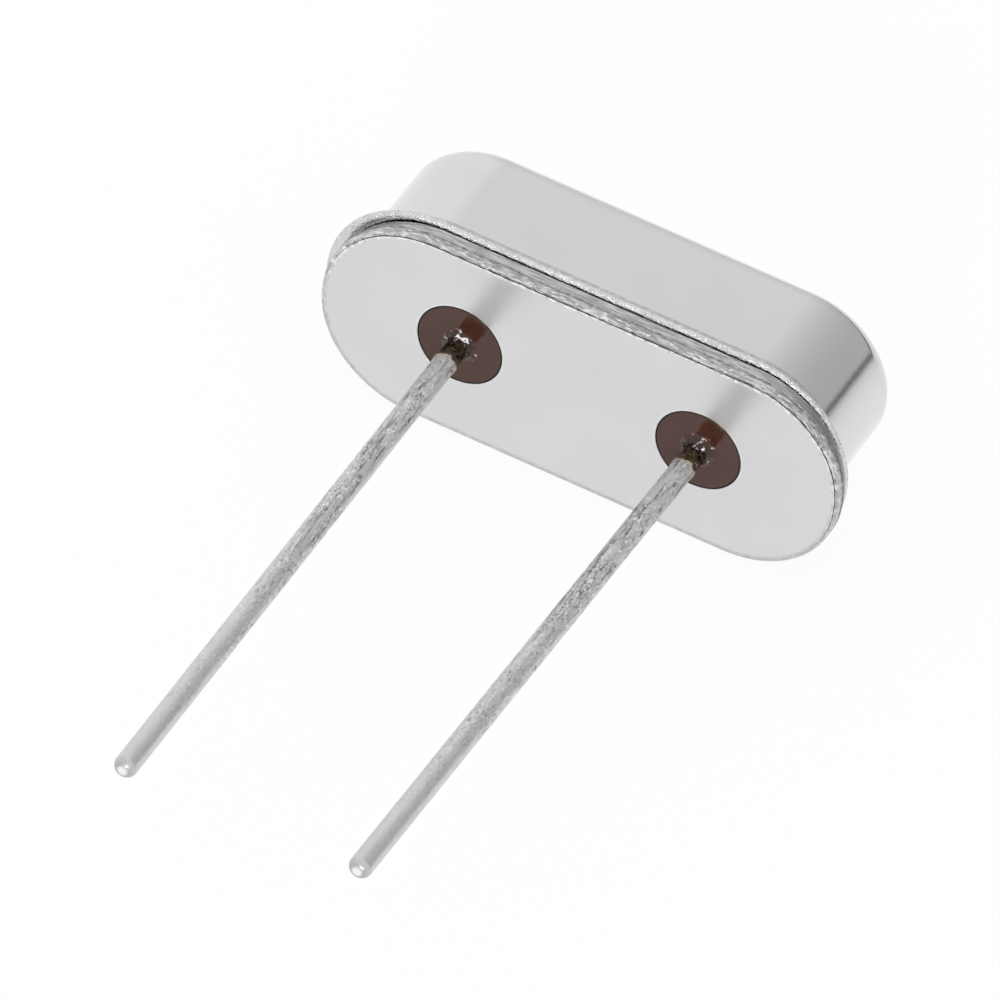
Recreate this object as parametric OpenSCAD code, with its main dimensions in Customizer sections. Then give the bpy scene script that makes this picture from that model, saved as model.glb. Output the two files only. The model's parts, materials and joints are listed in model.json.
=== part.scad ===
// Quartz crystal in a low-profile oval metal package with two leads.
// Millimetres. The part lies on one long side, as it comes to rest on a table:
// X runs from lead to lead, the leads point along -Y and rise a little, +Z is up, and z = 0 is the table.
// Each piece is drawn in the package's own frame (outer face of the base at z = 0, closed end of the can
// at +Z, leads down) and lay_down() turns it to rest on the rim of its flange and the edge of its can.

/* [Can] */
// Length over the can's round ends
can_length = 9.82; // [8.1:0.01:12]
// Width over the can's flat sides
can_width = 3.6; // [3:0.01:4.5]
// Height from the base's outer face to the can's closed end
can_height = 3.34; // [2.75:0.01:6]
// Sheet thickness of the can
can_wall = 0.2; // [0.12:0.01:0.25]
// Outer radius round the closed end
can_top_r = 0.43; // [0.26:0.01:0.6]
// How far the can's flange stands out from its flat sides
flange_side = 0.36; // [0.34:0.01:0.6]
// How far the can's flange stands out from its round ends
flange_end = 0.41; // [0.38:0.01:0.6]
// Thickness of the can's flange, thinned by the weld
can_flange_t = 0.16; // [0.1:0.01:0.25]
// Radius between the can's wall and its flange
can_root_r = 0.12; // [0.05:0.01:0.2]
// How far off centre the can was welded, along the length
can_offset = -0.13; // [-0.15:0.01:0.15]

/* [Base] */
// How far the base's rim stays inside the rim of the can's flange
flange_overhang = 0.05; // [0:0.01:0.1]
// Half length of the nearly flat stretch at each round end of the rims
end_flat = 0.05; // [0.02:0.01:0.3]
// Thickness of the base's flange
base_flange_t = 0.45; // [0.35:0.01:0.55]
// Thickness of the base through its middle
base_t = 1.0; // [0.7:0.01:1.3]
// Radius along the rim of the outer face
base_edge_r = 0.05; // [0.03:0.01:0.2]
// Gap between the two flanges outside the weld
weld_gap = 0.04; // [0.01:0.01:0.08]
// How far the weld stays back from the base's rim
weld_inset = 0.2; // [0.1:0.01:0.25]
// Gap between the base's raised middle and the can's wall
boss_gap = 0.06; // [0.03:0.01:0.15]

/* [Leads and glass] */
// Distance between the two leads
lead_pitch = 4.88; // [4:0.01:5.9]
// Lead diameter over the tin
lead_d = 0.45; // [0.35:0.01:0.6]
// Thickness of the tin on the lead
tin_t = 0.01; // [0.004:0.001:0.02]
// Length over which the tin thins out towards the glass
tin_fade = 0.55; // [0.52:0.01:1]
// Length of the left lead below the base
lead_left_length = 13.15; // [3:0.05:20]
// Length of the right lead below the base
lead_right_length = 13.05; // [3:0.05:20]
// How far the left lead leans in towards the right one, in degrees
lead_left_lean = 0.2; // [-2:0.1:2]
// How far the right lead leans in towards the left one, in degrees
lead_right_lean = 0.7; // [-2:0.1:2]
// Radius round the lead's cut end
lead_tip_r = 0.17; // [0.05:0.01:0.17]
// Height of the lead's head over the inside of the base
head_rise = 0.25; // [0.15:0.01:0.4]
// Diameter of the lead's flattened head
head_d = 0.9; // [0.7:0.01:1.1]
// Thickness of the lead's flattened head
head_t = 0.12; // [0.08:0.01:0.2]
// Diameter of each glass bead
bead_d = 1.72; // [1.4:0.01:2.1]
// How far the glass sinks below the metal
bead_recess = 0.02; // [0:0.005:0.05]
// Radius of the glass where it climbs the lead
meniscus_r = 0.2; // [0.1:0.01:0.3]
// Thickness of the glass where it ends on the lead
meniscus_lip = 0.02; // [0.01:0.01:0.05]

/* [Crystal and its clips] */
// Gap from each end of the blank to the can's inner wall, before the can's offset
blank_end_gap = 0.75; // [0.7:0.01:1.1]
// Width of the quartz blank
blank_width = 1.8; // [1.4:0.01:1.9]
// Thickness of the quartz blank
blank_t = 0.17; // [0.08:0.01:0.3]
// Thickness of each silver film
film_t = 0.01; // [0.005:0.001:0.02]
// Length of the silver pad in the middle of the blank
pad_length = 3.6; // [2:0.1:4]
// Margin between the silver pad and the blank's long edges
pad_margin = 0.2; // [0.1:0.01:0.4]
// Width of the silver strip that runs to the blank's end
tab_width = 0.5; // [0.3:0.01:0.8]
// Sheet thickness of the clips
clip_t = 0.1; // [0.06:0.01:0.15]
// Width of the clip's foot on the lead's head
foot_width = 0.9; // [0.6:0.01:1.2]
// Width of the clip's shelf
shelf_width = 1.4; // [0.8:0.01:1.4]
// Height from the clip's foot up to its shelf
shelf_rise = 0.35; // [0.15:0.01:0.5]
// How far the clip's shelf reaches past the blank's end
shelf_out = 0.28; // [0.2:0.01:0.35]
// How far the blank's end stands past the clip's upright
blank_grip = 0.2; // [0.1:0.01:0.3]
// Height of the ears over the blank
ear_rise = 0.2; // [0.1:0.01:0.3]
// Width of each ear beside the blank
ear_width = 0.22; // [0.15:0.01:0.22]
// Gap between each ear and the blank
ear_gap = 0.03; // [0.01:0.005:0.03]
// Radius of each dab of silver epoxy
dab_r = 0.36; // [0.25:0.01:0.4]
// Height of each dab over the blank
dab_rise = 0.16; // [0.08:0.01:0.2]

/* [Hidden] */
$fn = 96;
eps = 0.01;

// Can, in the package's frame
can_flange_length = can_length + 2 * flange_end;
can_flange_width = can_width + 2 * flange_side;
can_r = can_width / 2;
can_core = can_length / 2 - can_r;
can_flange_z = base_flange_t + weld_gap;

// Base
base_length = can_flange_length - 2 * flange_overhang;
base_width = can_flange_width - 2 * flange_overhang;
boss_r = can_r - can_wall - boss_gap;
boss_core = can_core - abs(can_offset);

// Leads and crystal, from the inside of the base up
head_z = base_t + head_rise;
foot_z = head_z + head_t;
shelf_z = foot_z + shelf_rise;
blank_z = shelf_z + clip_t + film_t;
blank_top = blank_z + blank_t;
blank_length = can_length - 2 * can_wall - 2 * blank_end_gap;
upright_x = blank_length / 2 - blank_grip - clip_t;
dab_x = blank_length / 2 + shelf_out - dab_r;

// Rest: the table touches the round rim of the can's flange and the round edge of its closed end
rim_y = can_flange_width / 2 - can_flange_t / 2;
rim_z = can_flange_z + can_flange_t / 2;
edge_y = can_r - can_top_r;
edge_z = can_height - can_top_r;
rest_tilt = atan2(rim_y - edge_y, edge_z - rim_z)
    + asin((can_flange_t / 2 - can_top_r) / norm([rim_y - edge_y, edge_z - rim_z]));
rest_height = rim_y * cos(rest_tilt) + rim_z * sin(rest_tilt) + can_flange_t / 2;

// Middle of the part's length over the table
reach_can = edge_z * cos(rest_tilt) + edge_y * sin(rest_tilt) + can_top_r;
reach_leads = max(lead_left_length, lead_right_length) * cos(rest_tilt);
rest_shift = (reach_leads - reach_can) / 2;

// Turns a piece from the package's frame to where the part lies
module lay_down() {
    translate([0, rest_shift, rest_height]) rotate([-90 - rest_tilt, 0, 0]) children();
}

// Sweeps a half section (x out from the core, y up) round a core of 2 cx by 2 cy
module sweep_round(cx, cy = 0) {
    for (q = [0 : 3])
        translate([cx * (q % 3 == 0 ? 1 : -1), cy * (q < 2 ? 1 : -1), 0])
            rotate(90 * q) rotate_extrude(angle = 90) children();
    for (s = [0, 1])
        mirror([0, s, 0]) translate([-cx, cy, 0]) rotate([90, 0, 90]) linear_extrude(2 * cx) children();
    if (cy > 0)
        for (s = [0, 1])
            mirror([s, 0, 0]) translate([cx, cy, 0]) rotate([90, 0, 0]) linear_extrude(2 * cy) children();
}

// Oval plate from z0 to z1 whose rim has the half section given as a child
module plate(length, width, flat, z0, z1) {
    r = width / 2 - flat;
    sweep_round(length / 2 - r, flat) children();
    translate([r - length / 2, -flat, z0]) cube([length - 2 * r, 2 * flat, z1 - z0]);
}

// Oval prism with true half-round ends
module oval(core, r, z0, z1) {
    translate([0, 0, z0]) linear_extrude(z1 - z0) {
        square([2 * core, 2 * r], center = true);
        for (s = [-1, 1]) translate([s * core, 0]) circle(r);
    }
}

// Square from the core out to x = r between two heights, with a rounded outer corner at the given end
module rounded_half(r, z0, z1, corner, top = true) {
    difference() {
        translate([0, z0]) square([r, z1 - z0]);
        translate([r - corner, top ? z1 - corner : z0]) square([corner, corner]);
    }
    translate([r - corner, top ? z1 - corner : z0 + corner]) intersection() {
        circle(corner);
        translate([0, top ? 0 : -corner]) square(corner);
    }
}

module can() {
    flange_r = can_flange_width / 2 - end_flat;
    color("#c9c9c7") lay_down() translate([can_offset, 0, 0]) difference() {
        union() {
            // Drawn cup
            sweep_round(can_core) rounded_half(can_r, can_flange_z, can_height, can_top_r);
            // Flange with a round rim
            plate(can_flange_length, can_flange_width, end_flat, can_flange_z, can_flange_z + can_flange_t) {
                translate([0, can_flange_z]) square([flange_r - can_flange_t / 2, can_flange_t]);
                translate([flange_r - can_flange_t / 2, can_flange_z + can_flange_t / 2])
                    circle(can_flange_t / 2);
            }
            // Fillet where the wall turns out
            sweep_round(can_core) difference() {
                translate([can_r - eps, can_flange_z + can_flange_t - eps])
                    square(can_root_r + eps);
                translate([can_r + can_root_r, can_flange_z + can_flange_t + can_root_r])
                    circle(can_root_r);
            }
            // Weld ring under the flange
            oval(can_core, can_r + flange_end - flange_overhang - weld_inset - abs(can_offset),
                base_flange_t, can_flange_z + eps);
        }
        // Hollow
        sweep_round(can_core)
            rounded_half(can_r - can_wall, base_flange_t - eps, can_height - can_wall, can_top_r - can_wall);
    }
}

module base() {
    rim_r = base_width / 2 - end_flat;
    color("#cdcdcb") lay_down() difference() {
        union() {
            plate(base_length, base_width, end_flat, 0, base_flange_t)
                rounded_half(rim_r, 0, base_flange_t, base_edge_r, top = false);
            oval(boss_core, boss_r, base_flange_t - eps, base_t);
        }
        for (s = [-1, 1]) translate([s * lead_pitch / 2, 0, -eps]) cylinder(d = bead_d, h = base_t + 2 * eps);
    }
}

// Round wire of a lead, bare from inside its head to just below the glass and tinned from there down
module wire(length, lean) {
    bare_r = lead_d / 2 - tin_t;
    tinned_z = -meniscus_r - tin_fade;
    rotate([0, -lean, 0]) rotate_extrude() {
        translate([0, -meniscus_r]) square([bare_r, meniscus_r + head_z + head_t / 2]);
        polygon([[0, -meniscus_r], [bare_r, -meniscus_r], [lead_d / 2, tinned_z], [0, tinned_z]]);
        rounded_half(lead_d / 2, -length, tinned_z, lead_tip_r, top = false);
    }
}

module lead_solid(length, lean) {
    wire(length, lean);
    translate([0, 0, head_z]) cylinder(d = head_d, h = head_t);
}

// Glass disc that climbs the lead on its outer side
module glass_bead(length, lean) {
    difference() {
        rotate_extrude() {
            translate([0, bead_recess]) square([bead_d / 2, base_t - 2 * bead_recess]);
            difference() {
                translate([0, bead_recess - meniscus_r])
                    square([lead_d / 2 + meniscus_lip + meniscus_r, meniscus_r + eps]);
                translate([lead_d / 2 + meniscus_lip + meniscus_r, bead_recess - meniscus_r])
                    circle(meniscus_r);
            }
        }
        wire(length, lean);
    }
}

// Folded spring: foot on the lead's head, upright with two ears, and a shelf under the blank's end
module clip_solid() {
    foot_x = lead_pitch / 2 - foot_width / 2;
    ear_y = blank_width / 2 + ear_gap;
    translate([foot_x, -foot_width / 2, foot_z])
        cube([upright_x + clip_t - foot_x, foot_width, clip_t]);
    translate([upright_x, -foot_width / 2, foot_z]) cube([clip_t, foot_width, shelf_z - foot_z]);
    translate([upright_x, -ear_y - ear_width, shelf_z]) cube([clip_t, 2 * (ear_y + ear_width), clip_t]);
    translate([upright_x, -shelf_width / 2, shelf_z])
        cube([clip_t + blank_grip + shelf_out, shelf_width, clip_t]);
    for (s = [0, 1]) mirror([0, s, 0])
        translate([upright_x, ear_y, shelf_z]) cube([clip_t, ear_width, blank_top + ear_rise - shelf_z]);
}

module blank_solid() {
    translate([-blank_length / 2, -blank_width / 2, blank_z]) cube([blank_length, blank_width, blank_t]);
}

// Silver pad with a strip that runs out to the blank's right end
module film(z) {
    pad_width = blank_width - 2 * pad_margin;
    translate([0, 0, z]) linear_extrude(film_t) {
        square([pad_length - pad_width, pad_width], center = true);
        for (s = [-1, 1]) translate([s * (pad_length - pad_width) / 2, 0]) circle(d = pad_width);
        translate([0, -tab_width / 2]) square([blank_length / 2, tab_width]);
    }
}

// Epoxy dab over the blank's right end and down to the shelf
module dab_solid() {
    cap_r = (dab_r * dab_r + dab_rise * dab_rise) / (2 * dab_rise);
    difference() {
        union() {
            translate([dab_x, 0, shelf_z + clip_t]) cylinder(r = dab_r, h = blank_top - shelf_z - clip_t);
            intersection() {
                translate([dab_x, 0, blank_top + dab_rise - cap_r]) sphere(cap_r);
                translate([dab_x, 0, blank_top - eps]) cylinder(r = dab_r, h = dab_rise + 2 * eps);
            }
        }
        blank_solid();
        film(blank_z - film_t);
        film(blank_top);
        clip_solid();
    }
}

module glass_bead_left() {
    color("#4a3431") lay_down() translate([-lead_pitch / 2, 0, 0])
        glass_bead(lead_left_length, lead_left_lean);
}
module glass_bead_right() {
    color("#4a3431") lay_down() mirror([1, 0, 0]) translate([-lead_pitch / 2, 0, 0])
        glass_bead(lead_right_length, lead_right_lean);
}
module lead_left() {
    color("#b4b4b2") lay_down() translate([-lead_pitch / 2, 0, 0])
        lead_solid(lead_left_length, lead_left_lean);
}
module lead_right() {
    color("#b4b4b2") lay_down() mirror([1, 0, 0]) translate([-lead_pitch / 2, 0, 0])
        lead_solid(lead_right_length, lead_right_lean);
}
module clip_left() { color("#b9ae94") lay_down() mirror([1, 0, 0]) clip_solid(); }
module clip_right() { color("#b9ae94") lay_down() clip_solid(); }
module quartz_blank() { color("#dbe5e8") lay_down() blank_solid(); }
module electrode_can_side() { color("#dadada") lay_down() mirror([1, 0, 0]) film(blank_top); }
module electrode_base_side() { color("#dadada") lay_down() film(blank_z - film_t); }
module adhesive_left() { color("#9b9b97") lay_down() mirror([1, 0, 0]) dab_solid(); }
module adhesive_right() { color("#9b9b97") lay_down() dab_solid(); }

can();
base();
glass_bead_left();
glass_bead_right();
lead_left();
lead_right();
clip_left();
clip_right();
quartz_blank();
electrode_can_side();
electrode_base_side();
adhesive_left();
adhesive_right();
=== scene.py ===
"""Quartz crystal in a low-profile oval metal package: fine surfaces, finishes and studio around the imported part.

Sections are drawn in millimetres in the package's own frame: outer face of the base at z = 0, closed end of
the can at +z, leads down. PACKAGE takes them to where the part lies.
"""

import json
import math
from functools import partial
from types import SimpleNamespace

import bmesh
import bpy
from mathutils import Matrix, Vector


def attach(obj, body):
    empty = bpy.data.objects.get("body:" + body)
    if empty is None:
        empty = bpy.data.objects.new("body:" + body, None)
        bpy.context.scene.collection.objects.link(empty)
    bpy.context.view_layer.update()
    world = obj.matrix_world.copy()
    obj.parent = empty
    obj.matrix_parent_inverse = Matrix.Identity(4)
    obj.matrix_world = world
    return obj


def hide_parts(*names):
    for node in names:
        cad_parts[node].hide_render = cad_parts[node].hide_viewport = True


bl_info = {
    "name": "Quartz Crystal",
    "version": (1, 0, 0),
    "blender": (4, 5, 0),
    "location": "View3D > Sidebar > Crystal",
    "description": "Builds the can, base, glass beads, leads and studio of a two-lead quartz crystal",
    "category": "Object",
}

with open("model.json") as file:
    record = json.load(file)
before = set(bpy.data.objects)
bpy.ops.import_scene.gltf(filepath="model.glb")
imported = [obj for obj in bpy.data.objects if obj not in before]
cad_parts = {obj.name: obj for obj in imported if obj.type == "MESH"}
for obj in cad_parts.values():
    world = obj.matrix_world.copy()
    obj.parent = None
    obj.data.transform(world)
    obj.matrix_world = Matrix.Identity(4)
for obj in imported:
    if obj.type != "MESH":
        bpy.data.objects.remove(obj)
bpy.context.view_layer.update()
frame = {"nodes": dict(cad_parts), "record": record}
mounts = {mount["name"]: mount for mount in frame["record"]["mounts"]}

MM = 0.001
# In mm: how far from a corner a loop keeps it sharp under smooth shading
HOLD = 0.004
# In mm: how close two points of a section, of a sweep and of a finished piece lie to count as one
SAME, SWEEP_WELD, PIECE_WELD = 1e-6, 1e-4, 2e-4
# In mm: how far off its height a capped rim may lie, and how short an edge is dissolved
LEVEL, SLIVER = 5e-4, 1e-5


def package_matrix():
    """From the package's own frame, in metres, to the frame of the part."""
    down = Vector(mounts["board_face"]["axis"])
    across = Vector((1, 0, 0))
    turn = Matrix((across, (-down).cross(across), -down)).transposed()
    return Matrix.Translation(mounts["board_face"]["pos_m"]) @ turn.to_4x4()


PACKAGE = package_matrix()


def lead_line(mount):
    """Where a lead's axis crosses the base's outer face, its direction, and its length below the face, in mm."""
    place = PACKAGE.inverted() @ Vector(mount["pos_m"]) / MM
    down = (PACKAGE.inverted().to_3x3() @ Vector(mount["axis"])).normalized()
    root = place - down * (place.z / down.z)
    return root, down, (place - root).length + mount["dims"]["length_mm"] / 2


# ---------------------------------------------------------------- properties


def size(name, description, millimetres):
    return bpy.props.FloatProperty(
        name=name, description=description, default=millimetres * MM, min=0, unit="LENGTH", precision=6
    )


def angle(name, description, degrees):
    return bpy.props.FloatProperty(
        name=name, description=description, default=math.radians(degrees), subtype="ANGLE"
    )


def colour(name, description, hex_code):
    return bpy.props.FloatVectorProperty(
        name=name, description=description, default=linear(hex_code)[:3], subtype="COLOR", min=0, max=1
    )


def linear(hex_code):
    """An sRGB hex code as a linear colour with full alpha."""
    values = [int(hex_code[i : i + 2], 16) / 255 for i in (1, 3, 5)]
    return (*[v / 12.92 if v <= 0.04045 else ((v + 0.055) / 1.055) ** 2.4 for v in values], 1.0)


class CrystalCanSizes(bpy.types.PropertyGroup):
    length: size("Length", "Length over the can's round ends", 9.82)
    width: size("Width", "Width over the can's flat sides", 3.6)
    height: size("Height", "From the base's outer face to the can's closed end", 3.34)
    wall: size("Wall", "Sheet thickness", 0.2)
    top_radius: size("Top radius", "Outer radius round the closed end", 0.43)
    root_radius: size("Root radius", "Radius between the wall and the flange", 0.12)
    flange_side: size("Flange at the sides", "How far the flange stands out from the flat sides", 0.36)
    flange_end: size("Flange at the ends", "How far the flange stands out from the round ends", 0.41)
    flange_thickness: size("Flange thickness", "Flange thickness after the weld", 0.16)
    end_flat: size("End flat", "Half length of the nearly flat stretch at each end of the rims", 0.05)
    offset: bpy.props.FloatProperty(
        name="Offset", description="How far off centre the can was welded", default=-0.13 * MM, unit="LENGTH",
        precision=6,
    )


class CrystalBaseSizes(bpy.types.PropertyGroup):
    overhang: size("Overhang", "How far the base's rim stays inside the can's rim", 0.05)
    flange_thickness: size("Flange thickness", "Thickness of the base's flange", 0.45)
    thickness: size("Thickness", "Thickness through the middle", 1.0)
    edge_radius: size("Edge radius", "Roll of the sheared rim into the outer face", 0.05)
    weld_gap: size("Weld gap", "Gap between the two flanges outside the weld", 0.04)
    weld_inset: size("Weld inset", "How far the weld stays back from the rim", 0.2)
    boss_gap: size("Boss gap", "Gap between the raised middle and the can's wall", 0.06)
    tear_height: size("Tear height", "Height over the face at which the sheared rim tears", 0.22)
    tear_depth: size("Tear depth", "Depth of the groove where the rim tears", 0.016)
    draft_side: size("Draft at the sides", "How far the sheared zone leans in at the flat sides", 0.012)
    draft_end: size("Draft at the ends", "How much further it leans in at the round ends", 0.055)
    hole_radius: size("Hole edge radius", "Rounding of the bead holes at the face", 0.035)


class CrystalLeadSizes(bpy.types.PropertyGroup):
    bead_diameter: size("Bead diameter", "Diameter of each glass bead", 1.72)
    bead_recess: size("Bead recess", "How far the glass sinks below the metal", 0.02)
    bead_creep: size("Bead groove", "Width and depth of the groove between the glass and the hole's wall", 0.035)
    meniscus_radius: size("Meniscus radius", "Radius of the glass where it climbs the lead", 0.16)
    meniscus_lip: size("Meniscus lip", "Thickness of the glass where it ends on the lead", 0.02)
    tin: size("Tin", "Thickness of the tin on the lead", 0.01)
    tin_start: size("Tin start", "Distance from the base's face to the edge of the tin", 0.53)
    tip_radius: size("Tip radius", "Radius round the lead's cut end", 0.17)
    head_rise: size("Head rise", "Height of the lead's head over the inside of the base", 0.25)
    head_diameter: size("Head diameter", "Diameter of the lead's flattened head", 0.9)
    head_thickness: size("Head thickness", "Thickness of the lead's flattened head", 0.12)


class CrystalColours(bpy.types.PropertyGroup):
    nickel: colour("Nickel", "Satin nickel plate", "#dadada")
    nickel_dull: colour("Dull nickel", "Nickel plate where it is torn or handled", "#9f9f9f")
    # Painted shade on the sheared zone round the ends
    sheared: colour("Sheared steel", "Thinly plated steel that the die sheared, round the ends", "#797979")
    # Painted highlights and painted glints on rims, torn metal, the lead's tip and the glass, and bright flecks in
    # the tin
    nickel_bright: colour("Burnished nickel", "Nickel plate where tools rubbed it", "#f3f3f3")
    # Near black painted shade in gaps, grooves, roots and hole walls, down to the bottom of the weld gap
    seam: colour("Seam", "Bottom of the seam and of the tear", "#1a1a1a")
    glass: colour("Glass", "Sealing glass", "#46261c")
    # Also painted shade in the groove round each bead, and the darker glass up the lead
    glass_rim: colour("Glass rim", "Glass fused to the metal", "#160c09")
    tin: colour("Tin", "Hot-dipped tin", "#d2d2d2")
    # Also painted shade in a ring round each lead's tip
    tin_dull: colour("Dull tin", "Pits and stains in the tin", "#757575")
    wire: colour("Bare wire", "Oxidised iron-nickel wire", "#8b7f66")
    tin_edge: colour("Tin edge", "Thin golden edge of the tin", "#dac9ae")


class CrystalStudio(bpy.types.PropertyGroup):
    azimuth: angle("Azimuth", "Camera angle round the part, from -Y towards +X", 24.90)
    elevation: angle("Elevation", "Camera angle over the table", 51.44)
    roll: angle("Roll", "Turn of the camera, anticlockwise seen from behind it", 3.95)
    distance: size("Distance", "From the camera to the base", 434.8)
    lens: bpy.props.FloatProperty(
        name="Lens", description="Focal length in millimetres on a 36 mm sensor", default=865.3, min=1
    )
    aim: bpy.props.FloatVectorProperty(
        name="Aim", description="Where the picture's middle lies from the base's middle, right and up", size=2,
        default=(-1.414 * MM, -1.844 * MM), unit="LENGTH", precision=6,
    )
    lamp_radiance: bpy.props.FloatProperty(
        name="Lamp", description="Brightness of the key lamp's face, where 1 is white", default=30, min=0
    )
    paper: colour("Paper", "Sweep that the part lies on", "#fafafa")


# ---------------------------------------------------------------- nodes and meshes


def add(tree, kind, inputs=None, **settings):
    """Adds a node with its settings; an input is given by name or number as a value, a socket or a node."""
    node = tree.nodes.new(kind)
    for name, value in settings.items():
        setattr(node, name, value)
    for key, value in (inputs or {}).items():
        if isinstance(value, bpy.types.Node):
            value = value.outputs[0]
        if isinstance(value, bpy.types.NodeSocket):
            tree.links.new(value, node.inputs[key])
        else:
            node.inputs[key].default_value = value
    return node


def in_mm(scene, *names):
    """The lengths of each property group, in millimetres, by name."""
    groups = [getattr(scene, "crystal_" + name) for name in names]
    return [SimpleNamespace(**{key: getattr(g, key) / MM for key in g.__annotations__}) for g in groups]


def arc(centre, radius, start, end, steps):
    """Points on an arc in a section, from one angle to another in degrees."""
    return [
        (
            centre[0] + radius * math.cos(math.radians(start + (end - start) * i / steps)),
            centre[1] + radius * math.sin(math.radians(start + (end - start) * i / steps)),
        )
        for i in range(steps + 1)
    ]


def line(start, end, steps):
    """Points on a straight stretch of a section, both ends included."""
    return [tuple(a + (b - a) * i / steps for a, b in zip(start, end)) for i in range(steps + 1)]


class Section:
    """Half section of a swept or turned piece, with the marks that each point carries."""

    def __init__(self):
        self.points = []
        self.marks = {"core": [], "grain": [], "sway": [], "seam": [], "streak": []}

    def run(self, points, core=(0, 0), core_end=None, grain=0.0, sway=0.0, seam=0.0, streak=0.0):
        """Adds points swept round a core, or sliding from one core to another: roughness and sway in mm, how dark
        the painted shade is in seams, gaps and hollows (or, under 0, how bright the painted highlight), and how
        streaked by the die. Pairs run from first to last point."""
        for i, point in enumerate(points):
            share = i / max(1, len(points) - 1)
            centre = Vector(core).lerp(Vector(core_end or core), share)
            if self.points and (Vector(point) - Vector(self.points[-1])).length < SAME:
                if (centre - Vector(self.marks["core"][-1][:2])).length < SAME:
                    continue
            self.points.append(tuple(point))
            self.marks["core"].append((*centre, 0))
            for name, value in (("grain", grain), ("sway", sway), ("seam", seam), ("streak", streak)):
                first, last = value if isinstance(value, tuple) else (value, value)
                self.marks[name].append(first + (last - first) * share)

    def mesh(self, closed):
        mesh = bpy.data.meshes.new("section")
        count = len(self.points)
        edges = [(i, (i + 1) % count) for i in range(count if closed else count - 1)]
        mesh.from_pydata([(x, 0, z) for x, z in self.points], edges, [])
        for name, values in self.marks.items():
            kind, key = ("FLOAT_VECTOR", "vector") if name == "core" else ("FLOAT", "value")
            attribute = mesh.attributes.new(name, kind, "POINT")
            flat = [x for v in values for x in v] if name == "core" else values
            attribute.data.foreach_set(key, flat)
        return mesh


def new_tree(name, sockets):
    """A geometry tree with a geometry input and output, and inputs with these defaults, None for a material."""
    tree = bpy.data.node_groups.new(name, "GeometryNodeTree")
    tree.interface.new_socket("Geometry", in_out="INPUT", socket_type="NodeSocketGeometry")
    tree.interface.new_socket("Geometry", in_out="OUTPUT", socket_type="NodeSocketGeometry")
    kinds = {int: "NodeSocketInt", float: "NodeSocketFloat", type(None): "NodeSocketMaterial"}
    for label, default in sockets.items():
        socket = tree.interface.new_socket(label, in_out="INPUT", socket_type=kinds[type(default)])
        socket.default_value = default
    return tree, tree.nodes.new("NodeGroupInput")


def close_tree(tree, geometry, given):
    """Ends a tree in welded, real geometry with its material."""
    welded = add(tree, "GeometryNodeMergeByDistance", {"Geometry": geometry, "Distance": SWEEP_WELD})
    real = add(tree, "GeometryNodeRealizeInstances", {0: welded})
    painted = add(tree, "GeometryNodeSetMaterial", {"Geometry": real, "Material": given.outputs["Material"]})
    add(tree, "NodeGroupOutput", {0: painted})
    return tree


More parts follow.
